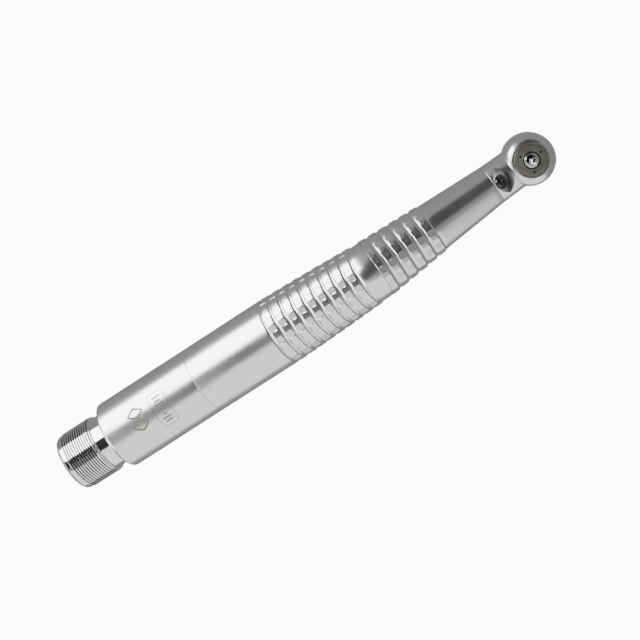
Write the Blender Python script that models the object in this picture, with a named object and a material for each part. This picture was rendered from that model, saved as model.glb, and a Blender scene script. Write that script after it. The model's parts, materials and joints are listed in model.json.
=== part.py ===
"""High speed dental handpiece with a built-in LED generator, as an assembly.

Frame, in metres, +Z up. The origin is the centre of the rear face, where the air hose seats.
+X runs along the handle from the hose end towards the head. The front section bends down from
the handle by BEND, away from the working side, so the blank pin points up and forward.
Driving dimensions below are in millimetres.
"""
import math

import bmesh
import bpy
from mathutils import Matrix, Vector

MM = 0.001
ROUND = 32          # sides of the turned outer pieces and of everything they fit
SMALL_ROUND = 12    # sides of tubes, bushes and drilled holes
GAP = 0.03          # clearance between pieces that are fitted together

# Handle, measured along X from the rear face.
CONNECTOR_RADIUS = 6.42
CONNECTOR_NECK_RADIUS = 5.85
THREAD_END_X = 8.55
REAR_SLEEVE_X = 11.4
HANDLE_RADIUS = 7.54
SEAM_X = 34.65
GRIP_START_X = 53.95
GRIP_END_X = 76.1
GRIP_END_RADIUS = 6.65
BEND_X = 77.55
BEND = math.radians(18.6)

# Front section, measured from the bend along its own axis.
FRONT_START = 0.72
FRONT_START_RADIUS = 6.55
GRIP_FRONT_END = 14.93
GRIP_FRONT_RADIUS = 5.52
TAPER_RADIUS = 5.32
NECK_START = 30.05
NECK_RADIUS = 4.4
NECK_END_RADIUS = 4.3
HEAD_AXIS = 39.15

# Head, measured along its own axis from the neck's centre line, positive towards the bur.
FACE_HEIGHT = 4.6
HEAD_RADIUS = 5.55
CHAMBER_RADIUS = 4.35
BEARING_SEAT_RADIUS = 3.66
CAP_SEAM = -4.9
CAP_BASE = -7.95
PIN_RADIUS = 0.8
PIN_TIP = 8.3

# Ball bearings of the turbine.
SPINDLE_RADIUS = 1.55
BEARING_WIDTH = 2.4
BEARING_RADIUS = 3.175
BALL_RADIUS = 0.5
BALL_PITCH_RADIUS = 2.38
BALLS = 6
FRONT_BEARING = 2.15
REAR_BEARING = -3.85

# Lines through the handle, as (Y, Z) places, and their outer radii.
DRIVE_AIR = (1.66, -1.02)
EXHAUST = (-2.3, -1.6)
WATER = (2.05, 3.55)
CHIP_AIR = (-2.05, 3.55)
DRIVE_RADIUS = 0.9
EXHAUST_RADIUS = 1.2
FINE_RADIUS = 0.5
WIRE_RADIUS = 0.2
# The same lines in the front section.
DRIVE_AIR_FRONT = (1.5, -1.9)
EXHAUST_FRONT = (-1.5, -1.9)
WATER_FRONT = (2.7, -0.2)
CHIP_AIR_FRONT = (-2.7, -0.2)
WIRE_SIDE = 0.32
WIRE_HEIGHT = 1.2

# LED pocket in the neck: a round-ended cut whose floor faces the bur.
POCKET_TILT = math.radians(35.0)
POCKET_RADIUS = 4.12
POCKET_CENTRE = (29.65, 4.8)
LED_CENTRE = (31.55, 3.43)
LED_RADIUS = 1.3

# Generator, around the handle's axis.
GENERATOR_START_X = 15.5
GENERATOR_END_X = 33.2
GENERATOR_RADIUS = 3.35
GENERATOR_BORE = 3.05
GENERATOR_SHAFT_RADIUS = 0.45
MAGNET_START_X = 22.0
MAGNET_END_X = 29.0

MATERIALS = {
    "satin_chrome": ((0.62, 0.63, 0.64), 1.0, 0.32),
    "polished_chrome": ((0.74, 0.75, 0.76), 1.0, 0.12),
    "dark_steel": ((0.12, 0.12, 0.13), 1.0, 0.42),
    "bearing_steel": ((0.55, 0.56, 0.58), 1.0, 0.18),
    "brass": ((0.62, 0.48, 0.22), 1.0, 0.3),
    "aluminium": ((0.66, 0.67, 0.69), 1.0, 0.4),
    "copper": ((0.66, 0.33, 0.16), 1.0, 0.35),
    "magnet": ((0.16, 0.16, 0.17), 0.6, 0.45),
    "rubber": ((0.03, 0.03, 0.03), 0.0, 0.7),
    "polymer": ((0.75, 0.68, 0.5), 0.0, 0.5),
    "ceramic": ((0.86, 0.86, 0.84), 0.0, 0.15),
    "lens": ((0.06, 0.07, 0.05), 0.0, 0.08),
    "wire_red": ((0.5, 0.03, 0.02), 0.0, 0.5),
    "wire_black": ((0.02, 0.02, 0.02), 0.0, 0.5),
}


def clear_scene():
    for existing in list(bpy.data.objects):
        bpy.data.objects.remove(existing, do_unlink=True)


def material(name):
    """The named Principled material, made once."""
    found = bpy.data.materials.get(name)
    if found:
        return found
    colour, metallic, roughness = MATERIALS[name]
    made = bpy.data.materials.new(name)
    made.use_nodes = True
    shader = made.node_tree.nodes["Principled BSDF"]
    shader.inputs["Base Color"].default_value = (*colour, 1.0)
    shader.inputs["Metallic"].default_value = metallic
    shader.inputs["Roughness"].default_value = roughness
    return made


def frame_empty(name, location, parent=None, tilt=0.0):
    """An empty that carries pieces; tilt turns it about Y, nose down."""
    empty = bpy.data.objects.new(name, None)
    bpy.context.collection.objects.link(empty)
    empty.parent = parent
    empty.location = Vector(location) * MM
    empty.rotation_euler = (0.0, tilt, 0.0)
    return empty


def finish(name, bm, slot, parent, cutter=False):
    """Turn a bmesh into a node, or into a hidden cutter."""
    bmesh.ops.remove_doubles(bm, verts=bm.verts, dist=1e-7)
    bmesh.ops.recalc_face_normals(bm, faces=bm.faces)
    mesh = bpy.data.meshes.new(name)
    bm.to_mesh(mesh)
    bm.free()
    mesh.materials.append(material(slot))
    mesh.shade_smooth()
    mesh.set_sharp_from_angle(angle=math.radians(32.0))
    made = bpy.data.objects.new(name, mesh)
    bpy.context.collection.objects.link(made)
    made.parent = parent
    if cutter:
        made.hide_render = True
        made.display_type = "WIRE"
    return made


def turned(name, profile, slot, parent, axis="X", sides=ROUND, ring=True, **options):
    """Spin a profile of (place along the axis, radius) points about the parent's X or Z axis.

    A ring's profile closes on itself. Any other profile starts and ends on the axis.
    """
    bm = bmesh.new()
    along = Vector((1, 0, 0)) if axis == "X" else Vector((0, 0, 1))
    outward = Vector((0, 0, 1)) if axis == "X" else Vector((1, 0, 0))
    points = [bm.verts.new((along * place + outward * radius) * MM) for place, radius in profile]
    closing = points[1:] + points[:1] if ring else points[1:]
    edges = [bm.edges.new(pair) for pair in zip(points, closing)]
    bmesh.ops.spin(bm, geom=points + edges, cent=(0, 0, 0), axis=along,
                   angle=math.tau, steps=sides, use_merge=True)
    return finish(name, bm, slot, parent, **options)


def tube_profile(start, end, inner, outer):
    """A plain ring's section."""
    return [(start, inner), (start, outer), (end, outer), (end, inner)]


def rod_profile(start, end, radius):
    """A plain solid rod's section."""
    return [(start, 0.0), (start, radius), (end, radius), (end, 0.0)]


def ring_verts(bm, centre, direction, radius, sides):
    """A circle of vertices around direction, counted from the same side on every ring."""
    up = direction.cross(Vector((0, 1, 0))).normalized()
    side = up.cross(direction).normalized()
    angles = [math.tau * step / sides for step in range(sides)]
    places = [centre - (up * math.cos(a) + side * math.sin(a)) * radius for a in angles]
    return [bm.verts.new(place * MM) for place in places]


def lofted(name, rings, slot, sides=ROUND, closed=True, parent=None):
    """Skin rings of (centre, direction, radius). Closed goes back to the first; else capped."""
    bm = bmesh.new()
    loops = [ring_verts(bm, *ring, sides) for ring in rings]
    following = loops[1:] + loops[:1] if closed else loops[1:]
    for near, far in zip(loops, following):
        for step in range(sides):
            after = (step + 1) % sides
            bm.faces.new((near[step], near[after], far[after], far[step]))
    if not closed:
        bm.faces.new(loops[0])
        bm.faces.new(loops[-1])
    return finish(name, bm, slot, parent)


def front_point(along, side, height):
    """A place given in the front section, in handle coordinates."""
    turn = Matrix.Rotation(BEND, 3, "Y")
    return Vector((BEND_X, 0, 0)) + turn @ Vector((along, side, height))


def run(name, route, outer, inner, slot):
    """A tube, or a wire where inner is 0, along a route of handle coordinates."""
    directions = []
    for index, place in enumerate(route):
        before = route[max(index - 1, 0)]
        after = route[min(index + 1, len(route) - 1)]
        directions.append((after - before).normalized())
    outside = [(place, way, outer) for place, way in zip(route, directions)]
    inside = [(place, way, inner) for place, way in zip(route, directions)] if inner else []
    sides = SMALL_ROUND if outer > 2 * WIRE_RADIUS else SMALL_ROUND // 2
    return lofted(name, outside + inside[::-1], slot, sides=sides, closed=bool(inner))


def cut(target, cutter, operation="DIFFERENCE"):
    """Cut or join with the exact solver."""
    boolean = target.modifiers.new(cutter.name, "BOOLEAN")
    boolean.object = cutter
    boolean.operation = operation
    boolean.solver = "EXACT"


def drill(target, name, start, end, place, radius, parent=None, axis="X", sides=SMALL_ROUND):
    """Drill a round hole along the parent's axis at a (side, height) place."""
    profile = rod_profile(start, end, radius)
    cutter = turned(name, profile, "dark_steel", parent, axis=axis, sides=sides, ring=False, cutter=True)
    if axis == "X":
        cutter.location = Vector((0, place[0], place[1])) * MM
    else:
        cutter.location = Vector((place[0], place[1], 0)) * MM
    cut(target, cutter)


def finned(name, start, end, bore, hub, tip, fins, slot, parent, axis):
    """A hub with straight blades: every other side of the hub is drawn out to the tip radius."""
    bm = bmesh.new()
    turn_to_axis = Matrix.Rotation(math.pi / 2, 4, "Y") if axis == "X" else Matrix()
    sides = 2 * fins
    loops = []
    for height, radius in ((start, bore), (start, hub), (end, hub), (end, bore)):
        circle = bmesh.ops.create_circle(bm, segments=sides, radius=radius * MM,
                                         matrix=turn_to_axis @ Matrix.Translation((0, 0, height * MM)))
        loops.append(circle["verts"])
    for near, far in zip(loops, loops[1:] + loops[:1]):
        for step in range(sides):
            after = (step + 1) % sides
            face = bm.faces.new((near[step], near[after], far[after], far[step]))
            if near is loops[1] and step % 2 == 0:
                blade = bmesh.ops.extrude_discrete_faces(bm, faces=[face])["faces"][0]
                middle = blade.calc_center_median()
                middle -= middle.project(turn_to_axis.to_3x3() @ Vector((0, 0, 1)))
                outward = middle.normalized() * (tip - hub) * MM
                bmesh.ops.translate(bm, verts=blade.verts, vec=outward)
    return finish(name, bm, slot, parent)


def cage(name, centre, towards, slot, parent):
    """A crown cage: a flat ring beside the balls with one prong between each pair of them."""
    bm = bmesh.new()
    sides = 3 * BALLS
    back = centre + towards * (BALL_RADIUS + 0.35)
    front = centre + towards * (BALL_RADIUS + 0.07)
    tip = centre - towards * BALL_RADIUS * 0.6
    loops = []
    for height, radius in ((back, 2.14), (back, 2.66), (front, 2.66), (front, 2.14)):
        turned_half_step = Matrix.Rotation(math.tau / sides / 2, 4, "Z")
        circle = bmesh.ops.create_circle(bm, segments=sides, radius=radius * MM,
                                         matrix=turned_half_step @ Matrix.Translation((0, 0, height * MM)))
        loops.append(circle["verts"])
    for near, far in zip(loops, loops[1:] + loops[:1]):
        for step in range(sides):
            after = (step + 1) % sides
            face = bm.faces.new((near[step], near[after], far[after], far[step]))
            if near is loops[2] and step % 3 == 0:
                prong = bmesh.ops.extrude_discrete_faces(bm, faces=[face])["faces"][0]
                bmesh.ops.translate(bm, verts=prong.verts, vec=(0, 0, (tip - front) * MM))
    return finish(name, bm, slot, parent)


def connector():
    bore = CONNECTOR_NECK_RADIUS - 0.85
    turned("hose_connector", [
        (0.0, bore), (0.0, CONNECTOR_RADIUS - 0.4), (0.3, CONNECTOR_RADIUS - 0.1),
        (THREAD_END_X - 0.2, CONNECTOR_RADIUS), (THREAD_END_X, CONNECTOR_RADIUS - 0.2),
        (THREAD_END_X, CONNECTOR_NECK_RADIUS), (REAR_SLEEVE_X + 5.0, CONNECTOR_NECK_RADIUS),
        (REAR_SLEEVE_X + 5.0, bore),
    ], "polished_chrome", None)
    insert = turned("connector_insert", rod_profile(0.0, 6.4, bore - GAP), "aluminium", None, ring=False)
    for name, place, radius in (
        ("drive_hole", DRIVE_AIR, DRIVE_RADIUS), ("exhaust_hole", EXHAUST, EXHAUST_RADIUS),
        ("water_hole", WATER, FINE_RADIUS), ("chip_air_hole", CHIP_AIR, FINE_RADIUS),
    ):
        drill(insert, name, -1.0, 8.0, place, radius + 0.05)
    turned("rear_seal_ring", tube_profile(13.0, 14.0, CONNECTOR_NECK_RADIUS + GAP, 6.2), "rubber", None)


def sleeves():
    neck_gap = CONNECTOR_NECK_RADIUS + 0.1
    turned("rear_sleeve", [
        (REAR_SLEEVE_X, neck_gap), (REAR_SLEEVE_X, neck_gap + 0.25), (REAR_SLEEVE_X + 0.25, 6.9),
        (REAR_SLEEVE_X + 0.85, 7.3), (REAR_SLEEVE_X + 1.5, HANDLE_RADIUS), (SEAM_X - GAP, HANDLE_RADIUS - 0.04),
        (SEAM_X - GAP, 6.6), (16.6, 6.6), (16.6, 6.25), (12.9, 6.25), (12.9, neck_gap),
    ], "satin_chrome", None)

    straight = Vector((1, 0, 0))
    bent = front_point(1, 0, 0) - front_point(0, 0, 0)
    front_centre = front_point(FRONT_START, 0, 0)
    outside = [(31.0, 6.3), (SEAM_X, 6.3), (SEAM_X, HANDLE_RADIUS - 0.04), (GRIP_START_X, HANDLE_RADIUS - 0.04),
               (GRIP_END_X, GRIP_END_RADIUS)]
    inside = [(GRIP_END_X, 5.55), (70.0, 5.7), (31.0, 5.7)]
    rings = [(Vector((x, 0, 0)), straight, radius) for x, radius in outside]
    rings += [(front_centre, bent, FRONT_START_RADIUS + 0.02), (front_centre, bent, 5.5)]
    rings += [(Vector((x, 0, 0)), straight, radius) for x, radius in inside]
    lofted("grip_sleeve", rings, "satin_chrome")
    turned("sleeve_o_ring", tube_profile(32.0, 32.8, 6.3 + GAP, 6.6 - GAP), "rubber", None)


def front_section(front):
    turned("front_sleeve", [
        (FRONT_START + GAP, 5.15), (FRONT_START + GAP, FRONT_START_RADIUS), (GRIP_FRONT_END, GRIP_FRONT_RADIUS),
        (GRIP_FRONT_END + 0.05, TAPER_RADIUS), (NECK_START - GAP, NECK_RADIUS), (NECK_START - GAP, 3.6),
        (16.0, 3.9), (14.0, 4.5), (7.0, 4.8), (7.0, 5.15),
    ], "satin_chrome", front)
    turned("bend_collar", tube_profile(-1.0, 6.9, 4.55, 5.05), "brass", front)


def tubes():
    handle = lambda x, place: Vector((x, place[0], place[1]))
    front = lambda along, place: front_point(along, place[0], place[1])
    run("drive_inlet_tube", [handle(0.4, DRIVE_AIR), handle(16.3, DRIVE_AIR)], DRIVE_RADIUS, 0.65, "aluminium")
    run("exhaust_port", [handle(0.4, EXHAUST), handle(9.0, EXHAUST)], EXHAUST_RADIUS, 0.95, "aluminium")
    run("drive_air_tube", [
        handle(GENERATOR_END_X - 0.8, DRIVE_AIR), handle(68.0, DRIVE_AIR), handle(75.0, (1.6, -1.1)),
        front(4.0, (1.55, -1.5)), front(11.0, DRIVE_AIR_FRONT), front(31.3, DRIVE_AIR_FRONT),
    ], DRIVE_RADIUS, 0.65, "aluminium")
    for name, start, end in (("water_tube", WATER, WATER_FRONT), ("chip_air_tube", CHIP_AIR, CHIP_AIR_FRONT)):
        side = math.copysign(1.0, start[0])
        run(name, [
            handle(0.4, start), handle(62.0, start), handle(72.0, (2.3 * side, 1.9)),
            front(3.0, (2.55 * side, 0.5)), front(11.0, end), front(31.3, end),
        ], FINE_RADIUS, 0.3, "aluminium")
    for name, side, slot in (("led_wire_left", 1.0, "wire_red"), ("led_wire_right", -1.0, "wire_black")):
        place = (side * WIRE_SIDE, WIRE_HEIGHT)
        run(name, [
            handle(GENERATOR_END_X + 0.1, place), handle(70.0, place), front(3.0, place), front(30.1, place),
        ], WIRE_RADIUS, 0.0, slot)

    guide = turned("tube_guide", rod_profile(46.0, 48.0, 5.66), "polymer", None, ring=False)
    wire_slot = (0.0, WIRE_HEIGHT)
    for name, place, radius in (
        ("guide_drive", DRIVE_AIR, DRIVE_RADIUS + 0.06), ("guide_water", WATER, FINE_RADIUS + 0.06),
        ("guide_chip_air", CHIP_AIR, FINE_RADIUS + 0.06), ("guide_wires", wire_slot, 0.62),
        ("guide_exhaust", (-1.9, -2.0), 1.5),
    ):
        drill(guide, name, 45.0, 49.0, place, radius)


def generator(handle):
    turned("generator_housing", tube_profile(GENERATOR_START_X, GENERATOR_END_X, GENERATOR_BORE, GENERATOR_RADIUS),
           "aluminium", None)
    for end, start_x, end_x in (("rear", GENERATOR_START_X, GENERATOR_START_X + 1.2),
                                ("front", GENERATOR_END_X - 1.2, GENERATOR_END_X)):
        plate = turned(f"generator_{end}_cap", tube_profile(start_x, end_x, 0.78, GENERATOR_BORE - GAP),
                       "aluminium", None)
        drill(plate, f"{end}_cap_port", start_x - 1.0, end_x + 1.0, DRIVE_AIR, DRIVE_RADIUS + 0.04)
        turned(f"generator_{end}_bush", tube_profile(start_x + 0.05, end_x - 0.05, GENERATOR_SHAFT_RADIUS + 0.04,
                                                     0.75), "brass", None)
    turned("stator_core", tube_profile(MAGNET_START_X, MAGNET_END_X, 2.3, GENERATOR_BORE - GAP), "dark_steel", None)
    turned("stator_coil", tube_profile(MAGNET_START_X + 0.4, MAGNET_END_X - 0.4, 1.75, 2.27), "copper", None)
    turned("generator_shaft", rod_profile(GENERATOR_START_X + 0.2, GENERATOR_END_X - 0.2, GENERATOR_SHAFT_RADIUS),
           "bearing_steel", handle, ring=False)
    turned("rotor_magnet", tube_profile(MAGNET_START_X, MAGNET_END_X, GENERATOR_SHAFT_RADIUS + 0.02, 1.55),
           "magnet", handle)
    finned("generator_impeller", 17.6, 20.4, GENERATOR_SHAFT_RADIUS + 0.06, 1.1, 2.75, 8, "polymer", handle, "X")
    carrier = turned("generator_carrier", tube_profile(19.0, 21.0, GENERATOR_RADIUS + GAP, 6.57), "polymer", None)
    for name, place, radius in (("carrier_water", WATER, FINE_RADIUS + 0.06),
                                ("carrier_chip_air", CHIP_AIR, FINE_RADIUS + 0.06),
                                ("carrier_exhaust", (0.0, -5.0), 1.2)):
        drill(carrier, name, 18.0, 22.0, place, radius)


def head_shell(front, head):
    shell = turned("head_shell", [
        (FACE_HEIGHT, 0.0), (FACE_HEIGHT, 3.8), (4.3, 4.42), (3.8, 4.88), (3.0, 5.22), (1.6, 5.48),
        (-0.2, HEAD_RADIUS), (-2.6, 5.36), (CAP_SEAM, 4.86), (CAP_SEAM, 0.0),
    ], "satin_chrome", head, axis="Z", ring=False)
    neck = turned("neck_body", [
        (28.6, 0.0), (28.6, 3.55), (NECK_START, 3.55), (NECK_START, NECK_RADIUS), (HEAD_AXIS - 2.0, NECK_END_RADIUS),
        (HEAD_AXIS - 2.0, 0.0),
    ], "satin_chrome", front, ring=False, cutter=True)
    cut(shell, neck, "UNION")
    chamber = turned("chamber", [
        (FACE_HEIGHT + 1.0, 0.0), (FACE_HEIGHT + 1.0, BEARING_SEAT_RADIUS), (0.9, BEARING_SEAT_RADIUS),
        (0.9, CHAMBER_RADIUS), (CAP_SEAM - 1.0, CHAMBER_RADIUS), (CAP_SEAM - 1.0, 0.0),
    ], "satin_chrome", head, axis="Z", ring=False, cutter=True)
    cut(shell, chamber)
    drill(shell, "neck_drive_air", 27.0, HEAD_AXIS - 1.0, DRIVE_AIR_FRONT, DRIVE_RADIUS + 0.06, front)
    drill(shell, "neck_exhaust", 27.0, HEAD_AXIS - 1.0, EXHAUST_FRONT, 1.1, front)
    drill(shell, "neck_water", 27.0, 33.5, WATER_FRONT, FINE_RADIUS + 0.06, front)
    drill(shell, "neck_chip_air", 27.0, 33.5, CHIP_AIR_FRONT, FINE_RADIUS + 0.06, front)
    drill(shell, "neck_wires", 27.0, 30.8, (0.0, WIRE_HEIGHT), 0.62, front)

    pocket = frame_empty("pocket_axis", (POCKET_CENTRE[0], 0, POCKET_CENTRE[1]), front, tilt=POCKET_TILT)
    slab = turned("led_pocket", rod_profile(0.0, 4.0, POCKET_RADIUS), "satin_chrome", pocket,
                  axis="Z", ring=False, cutter=True)
    cut(shell, slab)
    led = frame_empty("led_axis", (LED_CENTRE[0], 0, LED_CENTRE[1]), front, tilt=POCKET_TILT)
    drill(shell, "led_seat", -2.35, 1.0, (0.0, 0.0), LED_RADIUS + GAP, led, axis="Z", sides=ROUND // 2)
    turned("led_lens", rod_profile(-1.3, 0.12, LED_RADIUS), "lens", led, axis="Z", sides=ROUND // 2, ring=False)
    turned("led_board", rod_profile(-1.75, -1.35, LED_RADIUS - 0.1), "ceramic", led, axis="Z",
           sides=ROUND // 2, ring=False)


def head_covers(head):
    face = turned("face_insert", tube_profile(3.42, FACE_HEIGHT + 0.05, 1.75, BEARING_SEAT_RADIUS - GAP),
                  "dark_steel", head, axis="Z")
    for number in range(3):
        angle = math.radians(8.0 + 120.0 * number)
        spot = (2.5 * math.cos(angle), 2.5 * math.sin(angle))
        drill(face, f"spray_hole_{number + 1}", 3.0, 5.0, spot, 0.18, head, axis="Z", sides=8)
    turned("head_cap", [
        (-2.75, BEARING_SEAT_RADIUS), (-2.75, CHAMBER_RADIUS - GAP), (CAP_SEAM - GAP, CHAMBER_RADIUS - GAP),
        (CAP_SEAM - GAP, 4.83), (-6.2, 4.72), (-7.2, 4.42), (-7.8, 4.0), (CAP_BASE, 3.7), (CAP_BASE, 3.0),
        (-7.4, 3.0), (-7.4, 3.6), (-5.6, 3.6), (-5.6, 2.0), (-5.25, 2.0), (-5.25, BEARING_SEAT_RADIUS),
    ], "satin_chrome", head, axis="Z")
    turned("button_spring", tube_profile(-6.2, -5.63, 2.1, 3.1), "bearing_steel", head, axis="Z")
    turned("wave_washer", tube_profile(-5.22, -5.09, 2.7, 3.3), "bearing_steel", head, axis="Z")


def push_button(slide):
    turned("push_button", [
        (-8.35, 0.0), (-8.25, 2.1), (-8.0, 2.75), (-7.8, 2.94), (-7.36, 2.94), (-7.36, 3.54), (-7.0, 3.54),
        (-7.0, 0.9), (-6.28, 0.9), (-6.28, 0.0),
    ], "satin_chrome", slide, axis="Z", ring=False)


def bearing(end, centre, towards, head, rotor, cage_axis):
    """One ball bearing with its o-ring. towards is the side its cage's back lies on."""
    half = BEARING_WIDTH / 2
    turned(f"{end}_outer_race", tube_profile(centre - half, centre + half, 2.92, BEARING_RADIUS), "bearing_steel",
           head, axis="Z")
    turned(f"{end}_inner_race", tube_profile(centre - half, centre + half, SPINDLE_RADIUS + 0.02, 1.86),
           "bearing_steel", rotor, axis="Z")
    turned(f"{end}_bearing_o_ring", tube_profile(centre - 0.4, centre + 0.4, BEARING_RADIUS + 0.02,
                                                 BEARING_SEAT_RADIUS - GAP), "rubber", head, axis="Z")
    cage(f"{end}_cage", centre, towards, "polymer", cage_axis)
    for number in range(BALLS):
        bm = bmesh.new()
        bmesh.ops.create_icosphere(bm, subdivisions=2, radius=BALL_RADIUS * MM)
        ball = finish(f"{end}_ball_{number + 1}", bm, "ceramic", cage_axis)
        angle = math.tau * (number + 0.5) / BALLS
        spot = (BALL_PITCH_RADIUS * math.cos(angle), BALL_PITCH_RADIUS * math.sin(angle), centre)
        ball.location = Vector(spot) * MM


def turbine(rotor):
    turned("spindle", [
        (-5.45, 1.22), (-5.45, SPINDLE_RADIUS), (FACE_HEIGHT - 0.15, SPINDLE_RADIUS), (FACE_HEIGHT, 1.42),
        (FACE_HEIGHT, PIN_RADIUS + 0.05), (3.4, PIN_RADIUS + 0.05), (3.4, 1.22),
    ], "bearing_steel", rotor, axis="Z")
    turned("collet", [
        (-4.6, 1.0), (-4.6, 1.17), (3.3, 1.17), (3.3, PIN_RADIUS + 0.04), (-3.6, PIN_RADIUS + 0.04),
    ], "dark_steel", rotor, axis="Z")
    finned("turbine_impeller", -2.4, 0.75, SPINDLE_RADIUS + 0.03, 2.2, 4.05, 8, "aluminium", rotor, "Z")


def main():
    clear_scene()
    handle = frame_empty("generator_axis", (0, 0, 0))
    front = frame_empty("front_axis", (BEND_X, 0, 0), tilt=BEND)
    head = frame_empty("head_axis", (HEAD_AXIS, 0, 0), front)
    rotor = frame_empty("rotor_axis", (0, 0, 0), head)
    connector()
    sleeves()
    front_section(front)
    tubes()
    generator(handle)
    head_shell(front, head)
    head_covers(head)
    push_button(frame_empty("button_axis", (0, 0, 0), head))
    bearing("front", FRONT_BEARING, 1.0, head, rotor, frame_empty("front_cage_axis", (0, 0, 0), head))
    bearing("rear", REAR_BEARING, -1.0, head, rotor, frame_empty("rear_cage_axis", (0, 0, 0), head))
    turbine(rotor)
    turned("chuck_plunger", [
        (-5.98, 0.0), (-5.98, 1.0), (-5.86, 1.12), (-5.06, 1.12), (-5.06, 0.0),
    ], "bearing_steel", frame_empty("plunger_axis", (0, 0, 0), rotor), axis="Z", ring=False)
    turned("blank_pin", [
        (-3.5, 0.0), (-3.5, PIN_RADIUS), (PIN_TIP - 0.3, PIN_RADIUS), (PIN_TIP, PIN_RADIUS - 0.3), (PIN_TIP, 0.0),
    ], "polished_chrome", frame_empty("pin_axis", (0, 0, 0), rotor), axis="Z", ring=False)


main()
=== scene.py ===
"""High speed dental handpiece: the finished look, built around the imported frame.

Lengths are in millimetres. They are given in three frames, which all come from the packed
joints: the handle's, the bent front section's, and the head's, which has its origin where the
head's axis crosses the neck's. In each, X runs forward and Z towards the bur's side.
"""

import json
import math

import bmesh
import bpy
import numpy as np
from mathutils import Euler, Matrix, Vector


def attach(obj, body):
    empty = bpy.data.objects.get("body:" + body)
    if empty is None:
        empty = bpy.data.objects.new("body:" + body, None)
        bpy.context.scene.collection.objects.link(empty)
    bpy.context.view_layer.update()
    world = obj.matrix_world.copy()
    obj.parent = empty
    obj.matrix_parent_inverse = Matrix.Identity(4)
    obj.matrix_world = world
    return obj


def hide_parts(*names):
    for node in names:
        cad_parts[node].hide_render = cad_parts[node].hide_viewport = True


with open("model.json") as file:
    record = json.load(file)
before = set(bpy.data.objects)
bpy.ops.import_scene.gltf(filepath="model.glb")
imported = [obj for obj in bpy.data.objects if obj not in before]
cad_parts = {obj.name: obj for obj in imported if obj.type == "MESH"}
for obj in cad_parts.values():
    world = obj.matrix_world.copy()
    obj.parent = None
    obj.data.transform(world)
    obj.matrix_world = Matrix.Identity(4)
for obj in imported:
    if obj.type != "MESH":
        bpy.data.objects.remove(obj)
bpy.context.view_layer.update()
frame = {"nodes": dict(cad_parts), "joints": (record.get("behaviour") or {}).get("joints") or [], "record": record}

MM = 0.001
STEPS = 192                 # sides of a plain turned surface
SHARP = math.radians(28.0)  # edges sharper than this stay crisp

# ---------------------------------------------------------------- frames and sizes

JOINTS = {joint["name"]: joint for joint in frame["joints"]}
HEAD_POINT = Vector(JOINTS["rotor_spin"]["pos_m"]) / MM
HEAD_UP = Vector(JOINTS["rotor_spin"]["axis"]).normalized()
SIDE = Vector((0, 1, 0))
FRONT = SIDE.cross(HEAD_UP)
HEAD_ALONG = HEAD_POINT.z / FRONT.z          # from the bend to the head's axis
BEND_POINT = HEAD_POINT - FRONT * HEAD_ALONG
BEND = math.acos(FRONT.x)


def frame_at(origin, turn_about_side):
    return Matrix.Translation(origin) @ Matrix.Rotation(turn_about_side, 4, "Y")


HANDLE_FRAME = Matrix()
FRONT_FRAME = frame_at(BEND_POINT, BEND)
HEAD_FRAME = frame_at(HEAD_POINT, BEND)


def span(node, placed=HANDLE_FRAME, axis=0):
    """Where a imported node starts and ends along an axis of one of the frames."""
    back = placed.inverted()
    places = [(back @ (vertex.co / MM))[axis] for vertex in frame["nodes"][node].data.vertices]
    return min(places), max(places)


def half_width(node):
    return span(node, axis=1)[1]


SLEEVE_START, SEAM = span("rear_sleeve")
HANDLE_RADIUS = half_width("rear_sleeve")
CONNECTOR_RADIUS = half_width("hose_connector")
CONNECTOR_END = span("hose_connector")[1]
FRONT_START, NECK_SEAM = span("front_sleeve", FRONT_FRAME)
FACE_BACK, FACE_TOP = span("face_insert", HEAD_FRAME, axis=2)
FACE_RADIUS = half_width("face_insert")
CAP_BASE, CAP_TOP = span("head_cap", HEAD_FRAME, axis=2)
BUTTON_BASE, BUTTON_TOP = span("push_button", HEAD_FRAME, axis=2)
SPINDLE_BASE, SPINDLE_TOP = span("spindle", HEAD_FRAME, axis=2)
PIN_BASE, PIN_TIP = span("blank_pin", HEAD_FRAME, axis=2)
PIN_RADIUS = half_width("blank_pin")
HEAD_RADIUS = half_width("head_shell")
SHELL_BASE, SHELL_TOP = span("head_shell", HEAD_FRAME, axis=2)

# Sizes of the fine shapes.
EDGE = 0.08                 # rounding of a machined edge
JOINT_GAP = 0.03            # between pieces that screw or press together
THREAD_START = 1.3
THREAD_END = 8.2
THREAD_PITCH = 0.57
THREAD_DEPTH = 0.32
COLLAR_END = 8.55
CONNECTOR_NECK = 5.85
CONNECTOR_BORE = 5.0
SLEEVE_BORE = 5.95
SLEEVE_ROUNDING = 1.5
SLEEVE_STEP = 16.6          # where the rear sleeve's bore widens for the grip's spigot
SLEEVE_WIDE_BORE = 6.6
SPIGOT_RADIUS = 6.3
GRIP_START = 53.95
GRIP_END = 76.1
GRIP_END_RADIUS = 6.65
GRIP_RINGS = 9
GRIP_RING_DEPTH = 0.22
GRIP_BORE = 5.6
FACETS = 16                 # flats round each ring
FACET_CUT = 0.035
FLAT_HALF = 0.262           # half a flat's width, as a part of the spacing of the flats
GRIP_FACET_TURN = math.radians(5.0)
FRONT_RADIUS = 6.57
BAND_RADIUS = 6.42
FRONT_RINGS = 6
FRONT_RING_DEPTH = 0.26
FRONT_RING_PITCH = 2.458
FRONT_RING_FIRST = 1.52     # the middle of the first ring
FRONT_RINGS_END = 14.93
FRONT_RINGS_END_RADIUS = 5.52
TAPER_RADIUS = 5.32
NECK_RADIUS = 4.41
NECK_END_RADIUS = 4.31
NECK_SPIGOT_RADIUS = 3.55
NECK_SPIGOT_START = 28.6
HEAD_WAIST = -0.2           # height at which the head is widest
HEAD_CROWN = 5.18           # how far the head's curve would rise above that on its axis
HEAD_FULLNESS = 3.7         # 2 would be an ellipse
CAP_RADIUS = 4.87
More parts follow.
